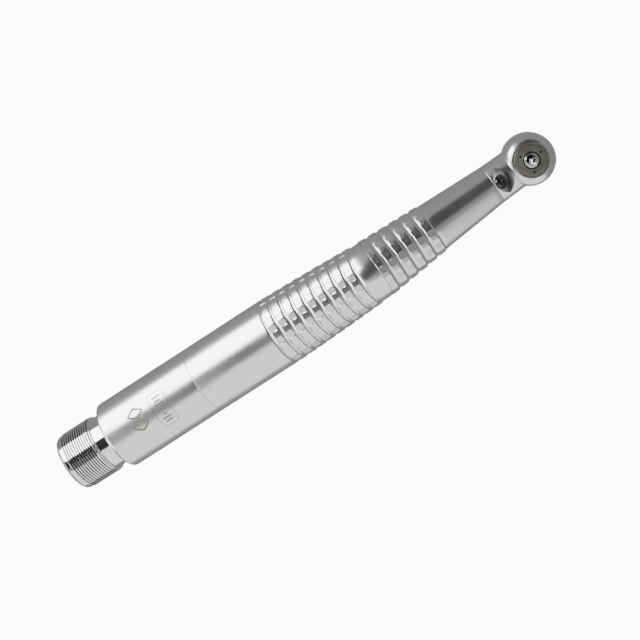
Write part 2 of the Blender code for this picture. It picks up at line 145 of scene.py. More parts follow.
CHAMBER_RADIUS = 4.35
BEARING_SEAT_RADIUS = 3.66
SPINDLE_RADIUS = 1.55
FACE_BORE = 1.82
SPRAY_CIRCLE = 2.5
SPRAY_HOLE = 0.25
POCKET_TILT = math.radians(35.0)
POCKET_RADIUS = 4.12
POCKET_CENTRE = (29.65, 4.8)
LED_CENTRE = (31.55, 3.43)
LED_RADIUS = 1.3
LED_DOME_HEIGHT = 0.7
MARK_ANGLE = math.radians(-6.7)


# ---------------------------------------------------------------- materials

def new_material(name, colour, metallic, roughness, **sockets):
    """A Principled material, its node tree and its shader. Other sockets go by name, with _ for a space."""
    made = bpy.data.materials.new(name)
    made.use_nodes = True
    shader = made.node_tree.nodes["Principled BSDF"]
    shader.inputs["Base Color"].default_value = (*colour, 1.0)
    shader.inputs["Metallic"].default_value = metallic
    shader.inputs["Roughness"].default_value = roughness
    for socket, value in sockets.items():
        shader.inputs[socket.replace("_", " ")].default_value = value
    return made, made.node_tree, shader


def noise(tree, scale, detail=2.0, stretch=(1, 1, 1), turn=0.0):
    """A noise texture laid out in the object's own coordinates, in metres."""
    place = tree.nodes.new("ShaderNodeTexCoord")
    mapping = tree.nodes.new("ShaderNodeMapping")
    mapping.inputs["Scale"].default_value = stretch
    mapping.inputs["Rotation"].default_value = (0, turn, 0)
    texture = tree.nodes.new("ShaderNodeTexNoise")
    texture.inputs["Scale"].default_value = scale
    texture.inputs["Detail"].default_value = detail
    tree.links.new(place.outputs["Object"], mapping.inputs["Vector"])
    tree.links.new(mapping.outputs["Vector"], texture.inputs["Vector"])
    return texture.outputs["Fac"]


def spread(tree, value, low, high):
    """Map a 0 to 1 value to low to high."""
    ramp = tree.nodes.new("ShaderNodeMapRange")
    ramp.inputs["To Min"].default_value = low
    ramp.inputs["To Max"].default_value = high
    tree.links.new(value, ramp.inputs["Value"])
    return ramp.outputs["Result"]


def tint(tree, value, dark, light):
    """Shade from dark to light over the middle of a 0 to 1 value."""
    ramp = tree.nodes.new("ShaderNodeValToRGB")
    ramp.color_ramp.elements[0].color = (*dark, 1.0)
    ramp.color_ramp.elements[1].color = (*light, 1.0)
    ramp.color_ramp.elements[0].position = 0.3
    ramp.color_ramp.elements[1].position = 0.7
    tree.links.new(value, ramp.inputs["Fac"])
    return ramp.outputs["Color"]


def bump(tree, shader, value, height):
    """Raise the surface by up to height, in metres."""
    node = tree.nodes.new("ShaderNodeBump")
    node.inputs["Distance"].default_value = height
    tree.links.new(value, node.inputs["Height"])
    tree.links.new(node.outputs["Normal"], shader.inputs["Normal"])


def satin_metal(name, colour, roughness, grain=9000.0, height=0.0000012):
    """Blasted and plated metal: an even fine grain with slight cloudiness in its gloss."""
    made, tree, shader = new_material(name, colour, 1.0, roughness)
    cloud = noise(tree, 160.0, 4.0)
    tree.links.new(spread(tree, cloud, roughness - 0.035, roughness + 0.035), shader.inputs["Roughness"])
    shade = [channel * 0.96 for channel in colour]
    tree.links.new(tint(tree, noise(tree, 420.0, 5.0), shade, colour), shader.inputs["Base Color"])
    bump(tree, shader, noise(tree, grain, 3.0), height)
    return made


def turned_metal(name, colour, roughness, across, height=0.000001):
    """Machined metal: fine rings round its axis. across is the object axis the rings step along."""
    made, tree, shader = new_material(name, colour, 1.0, roughness)
    stretch = {"X": (1, 0.02, 0.02), "Z": (0.02, 0.02, 1)}[across]
    turn = BEND if across == "Z" else 0.0
    lines = noise(tree, 14000.0, 2.0, stretch, -turn)
    low, high = max(roughness - 0.03, 0.02), roughness + 0.03
    tree.links.new(spread(tree, lines, low, high), shader.inputs["Roughness"])
    shade = [channel * 0.93 for channel in colour]
    tree.links.new(tint(tree, lines, shade, colour), shader.inputs["Base Color"])
    bump(tree, shader, lines, height)
    return made


def faced_metal(name, colour, roughness, centre, up, pitch=0.11, height=0.0000025):
    """A face turned on a lathe: concentric tool marks about an axis through centre."""
    made, tree, shader = new_material(name, colour, 1.0, roughness)
    place = tree.nodes.new("ShaderNodeTexCoord")
    mapping = tree.nodes.new("ShaderNodeMapping")
    turn = Vector((0, 0, 1)).rotation_difference(up).to_matrix().inverted()
    mapping.inputs["Rotation"].default_value = turn.to_euler()
    mapping.inputs["Location"].default_value = -(turn @ (centre * MM))
    rings = tree.nodes.new("ShaderNodeTexWave")
    rings.wave_type = "RINGS"
    rings.rings_direction = "Z"
    rings.inputs["Scale"].default_value = 1.0 / (pitch * MM) / 20.0 * math.pi
    rings.inputs["Distortion"].default_value = 0.25
    rings.inputs["Detail"].default_value = 2.0
    tree.links.new(place.outputs["Object"], mapping.inputs["Vector"])
    tree.links.new(mapping.outputs["Vector"], rings.inputs["Vector"])
    shade = [channel * 0.8 for channel in colour]
    tree.links.new(tint(tree, rings.outputs["Fac"], shade, colour), shader.inputs["Base Color"])
    tree.links.new(spread(tree, noise(tree, 3000.0), roughness - 0.05, roughness + 0.05), shader.inputs["Roughness"])
    bump(tree, shader, rings.outputs["Fac"], height)
    return made


def mottled(name, colour, roughness, scale=1500.0, amount=0.12, height=0.000002, **sockets):
    """Rubber, plastic or ceramic: a slight mottle in colour and a fine surface texture."""
    made, tree, shader = new_material(name, colour, 0.0, roughness, **sockets)
    shade = [channel * (1.0 - amount) for channel in colour]
    pattern = noise(tree, scale, 4.0)
    tree.links.new(tint(tree, pattern, shade, colour), shader.inputs["Base Color"])
    tree.links.new(spread(tree, pattern, roughness * 0.85, min(roughness * 1.15, 1.0)), shader.inputs["Roughness"])
    bump(tree, shader, pattern, height)
    return made


SATIN = satin_metal("satin_chrome_plate", (0.785, 0.79, 0.805), 0.25)
POLISHED = turned_metal("polished_chrome_plate", (0.86, 0.86, 0.87), 0.07, "X")
FACE = faced_metal("dark_turned_face", (0.31, 0.3, 0.272), 0.42, HEAD_POINT, HEAD_UP)
GROUND = turned_metal("ground_bearing_steel", (0.72, 0.72, 0.73), 0.12, "Z")
PIN_STEEL = turned_metal("bright_pin_steel", (0.88, 0.88, 0.88), 0.08, "Z")
DARK_STEEL = turned_metal("dark_collet_steel", (0.10, 0.10, 0.105), 0.35, "Z")
# The LED pocket's satin: a little rougher, and darker in colour as painted shade in the recess.
POCKET_PAINTED_SHADE = satin_metal("pocket_painted_shade", (0.52, 0.52, 0.515), 0.33)
THREAD_ROOT = turned_metal("shadowed_thread_root", (0.13, 0.13, 0.14), 0.4, "X")
ALUMINIUM = turned_metal("machined_aluminium", (0.70, 0.71, 0.73), 0.3, "X", height=0.000002)
BRASS = turned_metal("machined_brass", (0.72, 0.55, 0.25), 0.22, "X")
COPPER = turned_metal("enamelled_copper", (0.70, 0.33, 0.16), 0.3, "X", height=0.00002)
MAGNET = satin_metal("sintered_magnet", (0.22, 0.22, 0.23), 0.4, grain=3000.0, height=0.000004)
ETCHED = mottled("etched_mark", (0.16, 0.14, 0.105), 0.55, scale=5000.0)
RUBBER = mottled("black_rubber", (0.025, 0.025, 0.025), 0.6)
POLYMER = mottled("amber_polymer", (0.60, 0.42, 0.16), 0.4)
CERAMIC = mottled("white_ceramic", (0.86, 0.86, 0.83), 0.12, height=0.0000002)
RED_WIRE = mottled("red_wire_coat", (0.45, 0.03, 0.02), 0.45)
BLACK_WIRE = mottled("black_wire_coat", (0.02, 0.02, 0.02), 0.45)
LENS = mottled("led_dome", (0.012, 0.011, 0.009), 0.1, height=0.0000001, Specular_IOR_Level=0.5, Coat_Weight=1.0,
               Coat_Roughness=0.05)

SLOT_MATERIALS = {
    "satin_chrome": SATIN, "polished_chrome": POLISHED, "dark_steel": DARK_STEEL, "bearing_steel": GROUND,
    "brass": BRASS, "aluminium": ALUMINIUM, "copper": COPPER, "magnet": MAGNET, "rubber": RUBBER,
    "polymer": POLYMER, "ceramic": CERAMIC, "lens": LENS, "wire_red": RED_WIRE, "wire_black": BLACK_WIRE,
}


# ---------------------------------------------------------------- modelling helpers

def rounded(corners, steps=6):
    """A closed outline of (along, radius, rounding) corners, with the rounding as arcs."""
    outline = []
    count = len(corners)
    for index, (along, radius, rounding) in enumerate(corners):
        corner = Vector((along, radius))
        if rounding == 0:
            outline.append(tuple(corner))
            continue
        before = Vector(corners[index - 1][:2]) - corner
        after = Vector(corners[(index + 1) % count][:2]) - corner
        half = before.angle(after) / 2
        reach = min(rounding / math.tan(half), 0.48 * before.length, 0.48 * after.length)
        size = reach * math.tan(half)
        centre = corner + (before.normalized() + after.normalized()).normalized() * size / math.sin(half)
        start = corner + before.normalized() * reach - centre
        end = corner + after.normalized() * reach - centre
        sweep = start.angle_signed(end)
        for step in range(steps + 1):
            turn = Matrix.Rotation(-sweep * step / steps, 2)
            outline.append(tuple(centre + turn @ start))
    return outline


def between(start, end, part):
    return start + (end - start) * part


def even_angles(steps=STEPS):
    return np.arange(steps) * math.tau / steps


def circle(along, radius, angles, axis):
    """One ring of points about an axis; radius may change with the angle."""
    radius = np.broadcast_to(radius, angles.shape)
    ones = np.full(angles.shape, float(along))
    if axis == "X":
        return np.stack([ones, -radius * np.sin(angles), radius * np.cos(angles)], axis=1)
    return np.stack([radius * np.cos(angles), radius * np.sin(angles), ones], axis=1)


def in_frame(ring, placed):
    """A ring of points moved from one of the frames to the world."""
    turn = np.array(placed.to_3x3())
    return ring @ turn.T + np.array(placed.translation)


def skin(name, rings, closed=True, partners=None):
    """An object whose faces join each ring of points to the next, and the last to the first if closed.

    partners gives, for each ring, the ring that its last point joins: one turn on in a helix.
    """
    count, sides = len(rings), len(rings[0])
    partners = partners or range(count)
    points = np.concatenate(rings) * MM
    following = count if closed else count - 1
    faces = []
    for near in range(following):
        far = (near + 1) % count
        for step in range(sides - 1):
            faces.append((near * sides + step, near * sides + step + 1, far * sides + step + 1, far * sides + step))
        last = sides - 1
        faces.append((near * sides + last, partners[near] * sides, partners[far] * sides, far * sides + last))
    mesh = bpy.data.meshes.new(name)
    mesh.from_pydata(points.tolist(), [], faces)
    made = bpy.data.objects.new(name, mesh)
    bpy.context.scene.collection.objects.link(made)
    tidy_mesh(made)
    return made


def tidy_mesh(made):
    """Merge points on the axis, turn faces outward and keep machined edges crisp."""
    bm = bmesh.new()
    bm.from_mesh(made.data)
    bmesh.ops.remove_doubles(bm, verts=bm.verts, dist=2e-7)
    bmesh.ops.dissolve_degenerate(bm, edges=bm.edges, dist=1e-8)
    bmesh.ops.recalc_face_normals(bm, faces=bm.faces)
    bm.to_mesh(made.data)
    bm.free()
    made.data.shade_smooth()
    made.data.set_sharp_from_angle(angle=SHARP)


def turned(name, outline, placed=HANDLE_FRAME, axis="X", steps=STEPS, closed=True):
    """Turn an (along, radius) outline about an axis of a frame."""
    angles = even_angles(steps)
    rings = [in_frame(circle(along, radius, angles, axis), placed) for along, radius in outline]
    return skin(name, rings, closed)


def dress(made, material, slot, body, *nodes):
    """Give a piece its material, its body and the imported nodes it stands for."""
    made.data.materials.clear()
    made.data.materials.append(material)
    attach(made, body)
    if nodes:
        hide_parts(*nodes)
    return made


def apply_boolean(target, cutter, operation="DIFFERENCE"):
    """Cut or join with the exact solver, and remove the cutter."""
    boolean = target.modifiers.new("cut", "BOOLEAN")
    boolean.object = cutter
    boolean.operation = operation
    boolean.solver = "EXACT"
    bpy.context.view_layer.update()
    evaluated = target.evaluated_get(bpy.context.evaluated_depsgraph_get())
    target.data = bpy.data.meshes.new_from_object(evaluated)
    target.modifiers.clear()
    bpy.data.objects.remove(cutter, do_unlink=True)
    tidy_mesh(target)


def drill(target, radius, start, end, place, placed, axis="Z", steps=48):
    """Drill a round hole parallel to an axis of a frame, at its two other coordinates."""
    offset = (place[0], place[1], 0) if axis == "Z" else (0, place[0], place[1])
    centred = placed @ Matrix.Translation(offset)
    outline = [(start, 0), (start, radius), (end, radius), (end, 0)]
    apply_boolean(target, turned("drill", outline, centred, axis, steps, closed=False))


# ---------------------------------------------------------------- rear end

def thread_profile(phase):
    """Height of a thread with flat crests at a phase from 0 to 1, with its crest at 0.5."""
    slope = 1.0 - abs(2.0 * phase - 1.0)
    return min(max((slope - 0.28) / 0.2, 0.0), 1.0)


def hose_connector():
    """The collar with its helical thread, the polished neck, and the spigot in the sleeve."""
    angles = even_angles()
    crest = CONNECTOR_RADIUS
    rim = rounded([(0.0, CONNECTOR_BORE, EDGE), (0.0, crest - 0.5, 0.1), (0.62, crest - 0.14, 0.1),
                   (0.66, crest - 0.32, 0.05), (THREAD_START, crest - 0.32, 0.0)])
    rings = [circle(along, radius, angles, "X") for along, radius in rim]
    first = len(rings)
    rows_per_turn = 10
    count = int((THREAD_END - THREAD_START) / THREAD_PITCH + 1) * rows_per_turn
    for row in range(count + 1):
        turned_by = row / rows_per_turn - 1.0
        along = THREAD_START + THREAD_PITCH * (turned_by + angles / math.tau)
        along = np.clip(along, THREAD_START, THREAD_END)
        fade = np.clip((along - THREAD_START) / 0.2, 0, 1) * np.clip((THREAD_END - along) / 0.2, 0, 1)
        radius = crest - THREAD_DEPTH + THREAD_DEPTH * thread_profile(turned_by % 1.0) * fade
        ring = circle(0.0, radius, angles, "X")
        ring[:, 0] = along
        rings.append(ring)
    final = len(rings) - 1
    ends = rounded([
        (THREAD_END, crest - THREAD_DEPTH, 0.0), (THREAD_END + 0.1, crest - 0.1, 0.04),
        (COLLAR_END, crest - 0.1, 0.1), (COLLAR_END, CONNECTOR_NECK, 0.12),
        (CONNECTOR_END, CONNECTOR_NECK, EDGE), (CONNECTOR_END, CONNECTOR_BORE, EDGE),
    ])
    rings += [circle(along, radius, angles, "X") for along, radius in ends[1:]]
    partners = [min(ring + rows_per_turn, final) if first <= ring <= final else ring for ring in range(len(rings))]
    made = skin("hose_connector_fine", rings, partners=partners)
    dress(made, POLISHED, "polished_chrome", "handpiece", "hose_connector")
    made.data.materials.append(THREAD_ROOT)
    for face in made.data.polygons:
        centre = face.center / MM
        depth = crest - math.hypot(centre.y, centre.z)
        if THREAD_START < centre.x < THREAD_END and 0.6 * THREAD_DEPTH < depth < 1.5 * THREAD_DEPTH:
            face.material_index = 1


def connector_insert():
    """The flat seat with its four line holes."""
    end = span("connector_insert")[1]
    radius = half_width("connector_insert")
    made = turned("connector_insert_fine", rounded([
        (0.0, 0.0, 0.0), (0.0, radius, EDGE), (end, radius, EDGE), (end, 0.0, 0.0),
    ]), closed=False)
    for tube in ("drive_inlet_tube", "exhaust_port", "water_tube", "chip_air_tube"):
        middle, bore = tube_place(tube)
        drill(made, bore + 0.05, -1.0, end + 1.0, middle, HANDLE_FRAME, "X")
        port_end(tube, middle, bore)
    dress(made, ALUMINIUM, "aluminium", "handpiece", "connector_insert")


def tube_place(tube):
    """Centre (side, height) and outer radius of a tube at its rear end."""
    rear = [vertex.co / MM for vertex in frame["nodes"][tube].data.vertices if vertex.co.x < 0.0005]
    sides = [place.y for place in rear]
    heights = [place.z for place in rear]
    middle = ((min(sides) + max(sides)) / 2, (min(heights) + max(heights)) / 2)
    return middle, (max(sides) - min(sides)) / 2


def port_end(tube, middle, radius):
    """A rolled lip on a tube where it opens in the seat."""
    centred = HANDLE_FRAME @ Matrix.Translation((0, middle[0], middle[1]))
    lip = turned(f"{tube}_lip", rounded([
        (0.08, radius * 0.72, 0.04), (0.08, radius + 0.03, 0.05), (0.38, radius + 0.03, 0.03),
        (0.38, radius * 0.72, 0.03),
    ], steps=4), centred, steps=64)
    dress(lip, POLISHED, "polished_chrome", "handpiece")


# ---------------------------------------------------------------- sleeves

def rear_sleeve():
    """The plain satin sleeve with its rounded rear shoulder."""
    made = turned("rear_sleeve_fine", rounded([
        (SLEEVE_START, SLEEVE_BORE, EDGE), (SLEEVE_START, HANDLE_RADIUS, SLEEVE_ROUNDING),
        (SEAM, HANDLE_RADIUS - 0.04, EDGE), (SEAM, SLEEVE_WIDE_BORE, EDGE),
        (SLEEVE_STEP, SLEEVE_WIDE_BORE, EDGE), (SLEEVE_STEP, SLEEVE_BORE, EDGE),
    ], steps=14))
    dress(made, SATIN, "satin_chrome", "handpiece", "rear_sleeve")


def closed_path(along, around, half_along, half_around, power, steps=72):
    """A closed path round a place: power 1 is a diamond, 2 an ellipse and more a rounded box."""
    path = []
    for step in range(steps):
        angle = math.tau * step / steps
        reach = (abs(math.cos(angle)) ** power + abs(math.sin(angle)) ** power) ** (-1.0 / power)
        path.append((along + half_along * reach * math.cos(angle), around + half_around * reach * math.sin(angle)))
    return path


def etched(name, along, around, half_along, half_around, width, power):
    """A thin etched outline that follows the rear sleeve."""
    outer = closed_path(along, around, half_along, half_around, power)
    inner = closed_path(along, around, half_along - width, half_around - width, power)
    sections = []
    for inside, outside in zip(inner, outer):
        section = []
        for (x, arc), lift in ((outside, 0.015), (inside, 0.015), (inside, -0.1), (outside, -0.1)):
            angle = MARK_ANGLE + arc / HANDLE_RADIUS
            radius = between(HANDLE_RADIUS, HANDLE_RADIUS - 0.04, (x - SLEEVE_START) / (SEAM - SLEEVE_START)) + lift
            section.append((x, -radius * math.sin(angle), radius * math.cos(angle)))
        sections.append(np.array(section))
    dress(skin(name, sections), ETCHED, "dark_steel", "handpiece")


def marks():
    """Generic etched marks: two diamonds, and a thin frame round two groups of plain bars."""
    for number, around in enumerate((-2.1, 0.7)):
        etched(f"mark_diamond_{number + 1}", 20.0, around, 2.0, 1.3, 0.5, 1.15)
    etched("mark_frame", 25.7, 0.1, 2.0, 3.9, 0.12, 8.0)
    bars = ((-2.7, 1.1), (-1.9, 0.7), (-1.1, 1.1), (1.3, 0.5), (2.1, 1.1), (2.9, 0.8))
    for number, (around, half) in enumerate(bars):
        etched(f"mark_bar_{number + 1}", 25.7, around, half, 0.2, 0.18, 6.0)


def facet_angles(turn=0.0):
    """Angles round a ring, closest together at the edges of its flats, which centre on Z plus turn."""
    parts = (-0.46, -0.38, -0.31, -0.278, -FLAT_HALF, -0.18, -0.09, 0.0, 0.09, 0.18, FLAT_HALF, 0.278, 0.31, 0.38)
    spacing = math.tau / FACETS
    return np.array([turn + spacing * (number + part) for number in range(FACETS) for part in parts])


def ring_radius(ring, crown, angles, turn=0.0):
    """Radius round a ring at one place along it, with its flats milled in."""
    spacing = math.tau / FACETS
    offset = (angles - turn + spacing / 2) % spacing - spacing / 2
    plane = (crown * math.cos(FLAT_HALF * spacing) - FACET_CUT) / np.cos(offset)
    return np.where(np.abs(offset) < (FLAT_HALF + 0.008) * spacing, np.minimum(ring, plane), ring)


# Where a ring has rows of points, as parts of its pitch.
RING_PLACES = (0.0, 0.025, 0.05, 0.08, 0.11, 0.14, 0.17, 0.2, 0.23, 0.3, 0.4, 0.5, 0.6, 0.7, 0.77, 0.79, 0.82, 0.85,
               0.88, 0.91, 0.94, 0.97)


def ring_drop(part, rear, front):
    """How far a ring has fallen from its crown, 0 to 1, at a part of its pitch.

    rear and front give where each slope starts and ends, from the ring's middle.
    """
    start, end = rear if part < 0.5 else front
    fall = min(max((abs(part - 0.5) - start) / (end - start), 0.0), 1.0)
    return 0.5 - 0.5 * math.cos(math.pi * fall)


def grip_crown(along):
    """Outer radius over the grip's rings, which eases in towards the bend."""
    part = max((along - GRIP_START) / (GRIP_END - GRIP_START), 0.0)
    return HANDLE_RADIUS - 0.03 - (HANDLE_RADIUS - 0.03 - GRIP_END_RADIUS) * part ** 1.35


def grip_sleeve():
    """The grip: spigot, plain stretch, nine faceted rings, and the band that turns the bend."""
    angles = facet_angles(GRIP_FACET_TURN)
    start = span("grip_sleeve")[0]
    rear = rounded([
        (start, GRIP_BORE, 0.0), (start, SPIGOT_RADIUS, EDGE), (SEAM + JOINT_GAP, SPIGOT_RADIUS, 0.0),
        (SEAM + JOINT_GAP, HANDLE_RADIUS - 0.04, EDGE), (GRIP_START - 2.0, HANDLE_RADIUS - 0.03, 0.0),
    ])
    rings = [circle(along, radius, angles, "X") for along, radius in rear[:-1]]
    rings += [circle(GRIP_START - part, HANDLE_RADIUS - 0.03, angles, "X") for part in (12.0, 6.0, 2.0, 0.3)]
    pitch = (GRIP_END - GRIP_START) / GRIP_RINGS
    for number in range(GRIP_RINGS):
        centre = GRIP_START + pitch * (number + 0.5)
        for part in RING_PLACES:
            along = GRIP_START + pitch * (number + part)
            ring = grip_crown(along) - GRIP_RING_DEPTH * ring_drop(part, (0.27, 0.48), (0.27, 0.42))
            radius = ring_radius(ring, grip_crown(centre), angles, GRIP_FACET_TURN)
            rings.append(circle(along, radius, angles, "X"))
    rings += bend_band(angles)
    rings += [circle(along, GRIP_BORE, angles, "X") for along in (GRIP_END - 5.0, start + 0.5)]
    made = skin("grip_sleeve_fine", rings)
    dress(made, SATIN, "satin_chrome", "handpiece", "grip_sleeve")


def bend_band(angles):
    """Rings of the plain band: it turns quickly from the last groove to the front section's direction."""
    placed = frame_at(FRONT_FRAME @ Vector((FRONT_START - JOINT_GAP, 0, 0)), BEND)
    rear = circle(GRIP_END, GRIP_END_RADIUS - GRIP_RING_DEPTH, angles, "X")
    front = in_frame(circle(0.0, BAND_RADIUS, angles, "X"), placed)
    forward = np.array(FRONT_FRAME.to_3x3() @ Vector((1, 0, 0)))
    corner = front - np.outer((front - rear) @ forward * 0.85, forward)
    band = []
    for part in np.linspace(0.0, 1.0, 22):
        band.append(rear * (1 - part) ** 2 + corner * 2 * part * (1 - part) + front * part ** 2)
    band += [in_frame(circle(0.0, radius, angles, "X"), placed) for radius in (BAND_RADIUS - 0.07, 5.5)]
    return band


def front_crown(along):
    """Outer radius over the front sleeve's rings."""
    part = (along - FRONT_START) / (FRONT_RINGS_END - FRONT_START)
    return between(FRONT_RADIUS, FRONT_RINGS_END_RADIUS, part)


def front_sleeve():
    """The front sleeve: six faceted rings with wavy valleys, then the smooth taper."""
    angles = facet_angles()
    rows = [circle(FRONT_START, 5.15, angles, "X"), circle(FRONT_START, FRONT_RADIUS - 0.16, angles, "X"),
            circle(FRONT_START + 0.06, FRONT_RADIUS - 0.06, angles, "X")]
    for number in range(FRONT_RINGS):
        centre = FRONT_RING_FIRST + FRONT_RING_PITCH * number
        for part in RING_PLACES:
            along = centre + FRONT_RING_PITCH * (part - 0.5)
            if along < FRONT_START + 0.1 or along > FRONT_RINGS_END:
                continue
            rear = (0.27, 0.46) if number else (0.4, 0.6)
            ring = front_crown(along) - FRONT_RING_DEPTH * ring_drop(part, rear, (0.27, 0.48))
            rows.append(circle(along, ring_radius(ring, front_crown(centre), angles), angles, "X"))
    for part in (0.02, 0.06, 0.12, 0.2, 0.35, 0.5, 0.65, 0.8, 0.92):
        along = between(FRONT_RINGS_END, NECK_SEAM, part)
        rows.append(circle(along, between(TAPER_RADIUS, NECK_RADIUS, part), angles, "X"))
    end = rounded([
        (FRONT_RINGS_END, TAPER_RADIUS, 0.0), (NECK_SEAM, NECK_RADIUS, EDGE), (NECK_SEAM, 3.6, EDGE),
        (16.0, 3.9, 0.0), (14.0, 4.5, 0.0), (7.0, 4.8, 0.0), (7.0, 5.15, 0.0),
    ])
    rows += [circle(along, radius, angles, "X") for along, radius in end[1:]]
    made = skin("front_sleeve_fine", [in_frame(row, FRONT_FRAME) for row in rows])
    dress(made, SATIN, "satin_chrome", "handpiece", "front_sleeve")


# ---------------------------------------------------------------- head

def head_outline():
    """A full curve from the face to the waist, then an even narrowing to the cap."""
    widest = HEAD_RADIUS + 0.02
    power = 2.0 / HEAD_FULLNESS
    first = math.acos((FACE_RADIUS / widest + 0.02) ** (1.0 / power))
    outline = [(SHELL_TOP, 0.0), (SHELL_TOP, FACE_RADIUS)]
    for angle in first * (1.0 - np.linspace(0.0, 1.0, 36) ** 0.6):
        height = HEAD_WAIST + HEAD_CROWN * math.sin(angle) ** power
        outline.append((min(height, SHELL_TOP), widest * math.cos(angle) ** power))
    for part in np.linspace(0.1, 1.0, 10):
        outline.append((between(HEAD_WAIST, SHELL_BASE, part), between(widest, CAP_RADIUS, part ** 1.6)))
    return outline + [(SHELL_BASE, 0.0)]


def head_shell():
    """The bulbous head joined to the neck, with its chamber and the LED's pocket."""
    top = SHELL_TOP
    made = turned("head_shell_fine", head_outline(), HEAD_FRAME, "Z", closed=False)
    neck = turned("neck_fine", rounded([
        (NECK_SPIGOT_START, 0.0, 0.0), (NECK_SPIGOT_START, NECK_SPIGOT_RADIUS, EDGE),
        (NECK_SEAM + JOINT_GAP, NECK_SPIGOT_RADIUS, 0.0), (NECK_SEAM + JOINT_GAP, NECK_RADIUS, EDGE),
        (HEAD_ALONG - 1.5, NECK_END_RADIUS, 0.0), (HEAD_ALONG - 1.5, 0.0, 0.0),
    ]), FRONT_FRAME, "X", closed=False)
    apply_boolean(made, neck, "UNION")
    seat = FACE_RADIUS + JOINT_GAP
    chamber = turned("chamber_fine", [
        (top + 1.0, 0.0), (top + 1.0, seat), (0.9, seat), (0.9, CHAMBER_RADIUS),
        (SHELL_BASE - 1.0, CHAMBER_RADIUS), (SHELL_BASE - 1.0, 0.0),
    ], HEAD_FRAME, "Z", closed=False)
    apply_boolean(made, chamber)
    pocket_frame = FRONT_FRAME @ Matrix.Translation((POCKET_CENTRE[0], 0, POCKET_CENTRE[1]))
    pocket_frame = pocket_frame @ Matrix.Rotation(POCKET_TILT, 4, "Y")
    pocket = turned("pocket_fine", [(0, 0), (0, POCKET_RADIUS), (4, POCKET_RADIUS), (4, 0)],
                    pocket_frame, "Z", closed=False)
    apply_boolean(made, pocket)
    led_frame = FRONT_FRAME @ Matrix.Translation((LED_CENTRE[0], 0, LED_CENTRE[1]))
    led_frame = led_frame @ Matrix.Rotation(POCKET_TILT, 4, "Y")
    drill(made, LED_RADIUS + 0.17, -2.3, 1.0, (0, 0), led_frame, steps=96)
    dress(made, SATIN, "satin_chrome", "handpiece", "head_shell")
    # The pocket's faces take the darker satin, whose colour is painted shade in the recess.
    made.data.materials.append(POCKET_PAINTED_SHADE)
    for face in made.data.polygons:
        local = pocket_frame.inverted() @ (face.center / MM)
        if local.z > -0.01 and math.hypot(local.x, local.y) < POCKET_RADIUS + 0.01:
            face.material_index = 1
    led(led_frame)


def led(led_frame):
    """A domed LED and its dark rim."""
    dome = [(-1.3, 0.0), (-1.3, LED_RADIUS - 0.02), (-0.05, LED_RADIUS - 0.02)]
    for angle in np.linspace(0.0, math.pi / 2, 24):
        dome.append((LED_DOME_HEIGHT * math.sin(angle), (LED_RADIUS - 0.04) * math.cos(angle)))
    made = turned("led_dome", dome, led_frame, "Z", steps=96, closed=False)
    dress(made, LENS, "lens", "handpiece", "led_lens")
    rim = turned("led_rim", rounded([
        (-0.4, LED_RADIUS, 0.02), (0.1, LED_RADIUS, 0.04), (0.1, LED_RADIUS + 0.15, 0.05),
        (-0.4, LED_RADIUS + 0.15, 0.02),
    ]), led_frame, "Z", steps=96)
    dress(rim, DARK_STEEL, "dark_steel", "handpiece")


def face_insert():
    """The dark turned disc: a fine groove near its rim, three spray holes, and a seal in its bore."""
    top = FACE_TOP
    made = turned("face_insert_fine", rounded([
        (FACE_BACK, FACE_BORE, 0.03), (FACE_BACK, FACE_RADIUS, 0.03), (top, FACE_RADIUS, 0.05),
        (top, FACE_RADIUS - 0.22, 0.03), (top - 0.12, FACE_RADIUS - 0.25, 0.02),
        (top - 0.12, FACE_RADIUS - 0.32, 0.02), (top, FACE_RADIUS - 0.35, 0.03), (top, FACE_BORE, 0.06),
    ], steps=4), HEAD_FRAME, "Z")
    for number in range(3):
        angle = math.radians(8.0 + 120.0 * number)
        spot = (SPRAY_CIRCLE * math.cos(angle), SPRAY_CIRCLE * math.sin(angle))
        drill(made, SPRAY_HOLE, top - 0.9, top + 1.0, spot, HEAD_FRAME, steps=24)
        nozzle = turned(f"spray_nozzle_{number + 1}", rounded([
            (top - 0.85, 0.0, 0.0), (top - 0.85, 0.24, 0.02), (top - 0.2, 0.24, 0.02), (top - 0.26, 0.0, 0.0),
        ], steps=3), HEAD_FRAME @ Matrix.Translation((*spot, 0)), "Z", steps=24, closed=False)
        dress(nozzle, RUBBER, "rubber", "handpiece")
    dress(made, FACE, "dark_steel", "handpiece", "face_insert")
    seal = turned("front_lip_seal", rounded([
        (top - 0.8, SPINDLE_RADIUS + 0.06, 0.02), (top - 0.8, FACE_BORE - 0.01, 0.02),
        (top - 0.3, FACE_BORE - 0.01, 0.02), (top - 0.22, SPINDLE_RADIUS + 0.06, 0.02),
    ], steps=4), HEAD_FRAME, "Z", steps=128)
    dress(seal, RUBBER, "rubber", "handpiece")


def head_cap():
    """The screwed cap: its thread's spigot, the rear bearing's seat, and the ring round the button."""
    seat = CHAMBER_RADIUS - JOINT_GAP
    made = turned("head_cap_fine", rounded([
        (CAP_TOP, BEARING_SEAT_RADIUS, 0.03), (CAP_TOP, seat, 0.05), (SHELL_BASE - JOINT_GAP, seat, 0.0),
        (SHELL_BASE - JOINT_GAP, CAP_RADIUS - 0.02, EDGE), (-6.4, 4.76, 1.5), (-7.6, 4.3, 0.9), (CAP_BASE, 3.7, 0.4),
        (CAP_BASE, 3.0, 0.1), (-7.4, 3.0, 0.03), (-7.4, 3.6, 0.03), (-5.6, 3.6, 0.03), (-5.6, 2.0, 0.03),
        (-5.25, 2.0, 0.03), (-5.25, BEARING_SEAT_RADIUS, 0.03),
    ], steps=8), HEAD_FRAME, "Z")
    dress(made, SATIN, "satin_chrome", "handpiece", "head_cap")


